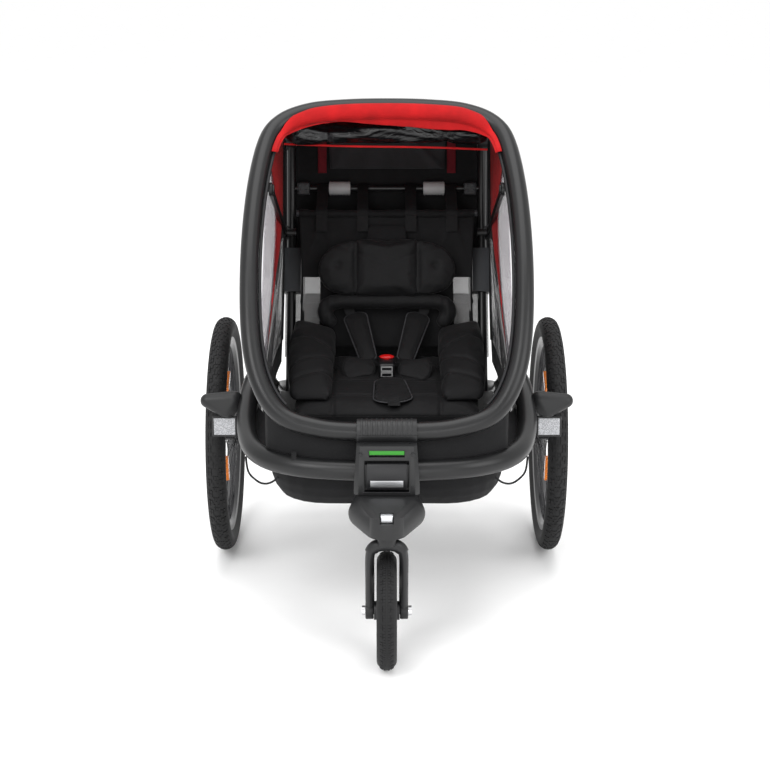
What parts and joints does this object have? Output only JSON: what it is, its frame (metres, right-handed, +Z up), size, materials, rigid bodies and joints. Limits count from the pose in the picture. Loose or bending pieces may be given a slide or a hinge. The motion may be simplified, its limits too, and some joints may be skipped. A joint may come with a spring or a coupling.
{
  "type": "child bicycle trailer",
  "caption": "Child bicycle trailer with a hooped fabric cabin on a tubular chassis, sprung side wheels, a swivelling front wheel, a harnessed seat and a folding frame.",
  "frame": {"origin": "middle of the footprint on the floor under the whole object", "axes": "+Z up, -Y towards the front wheel, +X towards the object's left side"},
  "size_m": [0.7338, 1.08, 0.9734],
  "materials": {
    "tube": "satin dark grey coated tube",
    "dark_plastic": "fine-grained dark grey plastic",
    "grey_plastic": "satin mid grey plastic",
    "light_plastic": "light grey plastic",
    "black_plastic": "satin black plastic",
    "silver": "brushed silver",
    "steel": "bright wire steel",
    "red_plastic": "glossy red plastic",
    "green_plastic": "bright green plastic",
    "reflector_clear": "clear prismatic reflector",
    "reflector_orange": "orange prismatic reflector",
    "tyre": "matt black rubber",
    "grey_tyre": "matt grey-black rubber",
    "seal": "soft black rubber",
    "black_fabric": "woven black polyester",
    "pad_fabric": "padded black polyester",
    "webbing": "ribbed black webbing",
    "red_fabric": "woven red polyester",
    "window_film": "tinted clear film in a fabric border",
    "board": "black board"
  },
  "bodies": {
    "chassis": {"chassis_tube": "tube", "axle_beam": "tube", "connector_housing": "dark_plastic", "clamp_cap": "dark_plastic", "clamp_bolts": "silver", "nose_housing": "dark_plastic", "fabric_tub": "black_fabric", "floor_board": "board", "cover_cord_left": "seal", "cover_cord_right": "seal", "tow_socket": "dark_plastic", "wheel_guards": "dark_plastic", "guard_reflectors": "reflector_clear", "seat_cushion": "pad_fabric", "seat_bolsters": "pad_fabric", "seat_back": "black_fabric", "hanging_straps": "webbing", "head_pillow": "pad_fabric", "neck_roll": "pad_fabric", "shoulder_straps": "pad_fabric", "waist_straps": "pad_fabric", "crotch_strap": "pad_fabric", "buckle": "black_plastic", "luggage_bag": "black_fabric", "brake_bar": "steel"},
    "buckle_button": {"buckle_button": "red_plastic"},
    "brake_pedal": {"brake_pedal": "red_plastic"},
    "latch": {"latch_button": "grey_plastic", "latch_inlay": "silver"},
    "indicator": {"lock_indicator": "green_plastic"},
    "swivel_lock": {"swivel_tab": "silver"},
    "fork": {"front_fork": "dark_plastic", "front_axle": "silver"},
    "front_wheel": {"front_tyre": "grey_tyre", "front_rim": "black_plastic"},
    "left_suspension": {"left_arm": "dark_plastic"},
    "right_suspension": {"right_arm": "dark_plastic"},
    "left_wheel": {"left_tyre": "tyre", "left_rim": "black_plastic", "left_spokes": "steel", "left_hub": "dark_plastic", "left_spoke_reflectors": "reflector_orange"},
    "right_wheel": {"right_tyre": "tyre", "right_rim": "black_plastic", "right_spokes": "steel", "right_hub": "dark_plastic", "right_spoke_reflectors": "reflector_orange"},
    "left_release": {"left_release_button": "black_plastic"},
    "right_release": {"right_release_button": "black_plastic"},
    "hoop": {"front_hoop": "tube", "hoop_gasket": "seal", "canopy": "red_fabric", "side_windows": "window_film", "rolled_cover": "window_film"},
    "rear_frame": {"rear_struts": "tube", "bar_sleeves": "light_plastic", "fold_brackets": "grey_plastic"},
    "links": {"upper_links": "tube"},
    "handlebar": {"handlebar": "tube", "handle_grip": "seal"}
  },
  "joints": [
    {"name": "fork_swivel", "type": "hinge", "parent": "chassis", "child": "fork", "pos_m": [0, -0.4625, 0.263], "axis": [0, 0, 1], "continuous": true},
    {"name": "front_wheel_spin", "type": "hinge", "parent": "fork", "child": "front_wheel", "pos_m": [0, -0.4325, 0.1075], "axis": [1, 0, 0], "continuous": true},
    {"name": "left_suspension_swing", "type": "hinge", "parent": "chassis", "child": "left_suspension", "pos_m": [0.283, 0.12028, 0.28661], "axis": [-1, 0, 0], "range_deg": [-6, 6], "stiffness_Nm_per_rad": 650, "springref_deg": 0.43},
    {"name": "right_suspension_swing", "type": "hinge", "parent": "chassis", "child": "right_suspension", "pos_m": [-0.283, 0.12028, 0.28661], "axis": [-1, 0, 0], "range_deg": [-6, 6], "stiffness_Nm_per_rad": 650, "springref_deg": 0.43},
    {"name": "left_wheel_spin", "type": "hinge", "parent": "left_suspension", "child": "left_wheel", "pos_m": [0.345, 0.2025, 0.25], "axis": [1, 0, 0], "continuous": true},
    {"name": "right_wheel_spin", "type": "hinge", "parent": "right_suspension", "child": "right_wheel", "pos_m": [-0.345, 0.2025, 0.25], "axis": [1, 0, 0], "continuous": true},
    {"name": "left_release_press", "type": "slide", "parent": "left_suspension", "child": "left_release", "axis": [-1, 0, 0], "range_m": [0, 0.002], "stiffness_N_per_m": 600},
    {"name": "right_release_press", "type": "slide", "parent": "right_suspension", "child": "right_release", "axis": [1, 0, 0], "range_m": [0, 0.002], "stiffness_N_per_m": 600},
    {"name": "hoop_fold", "type": "hinge", "parent": "chassis", "child": "hoop", "pos_m": [0, -0.3425, 0.416], "axis": [1, 0, 0], "range_deg": [-36, 0], "deforming": ["canopy", "side_windows", "rolled_cover", "seat_back", "hanging_straps", "head_pillow", "neck_roll", "shoulder_straps", "seat_bolsters"]},
    {"name": "strut_fold", "type": "hinge", "parent": "chassis", "child": "rear_frame", "pos_m": [0, 0.2225, 0.315], "axis": [1, 0, 0], "range_deg": [-43.5, 0]},
    {"name": "link_fold", "type": "hinge", "parent": "hoop", "child": "links", "pos_m": [0, -0.03803, 0.811], "axis": [1, 0, 0], "range_deg": [0, 43.5]},
    {"name": "handlebar_tilt", "type": "hinge", "parent": "rear_frame", "child": "handlebar", "pos_m": [0, 0.4175, 0.85], "axis": [1, 0, 0], "range_deg": [-45, 60]},
    {"name": "latch_press", "type": "slide", "parent": "chassis", "child": "latch", "axis": [0, 1, 0], "range_m": [0, 0.005], "stiffness_N_per_m": 800},
    {"name": "indicator_shift", "type": "slide", "parent": "chassis", "child": "indicator", "axis": [0, 0, -1], "range_m": [0, 0.0035]},
    {"name": "swivel_lock_slide", "type": "slide", "parent": "chassis", "child": "swivel_lock", "axis": [0, -1, 0], "range_m": [0, 0.008]},
    {"name": "buckle_press", "type": "slide", "parent": "chassis", "child": "buckle_button", "axis": [0, 0.174, -0.9847], "range_m": [0, 0.005], "stiffness_N_per_m": 500},
    {"name": "brake_press", "type": "hinge", "parent": "chassis", "child": "brake_pedal", "pos_m": [0, 0.4195, 0.268], "axis": [1, 0, 0], "range_deg": [-25, 0]}
  ],
  "couplings": [
    {"joint": "strut_fold", "follows": "hoop_fold", "ratio": 1.204},
    {"joint": "link_fold", "follows": "hoop_fold", "ratio": -1.204},
    {"joint": "indicator_shift", "follows": "latch_press", "ratio": 0.7}
  ]
}
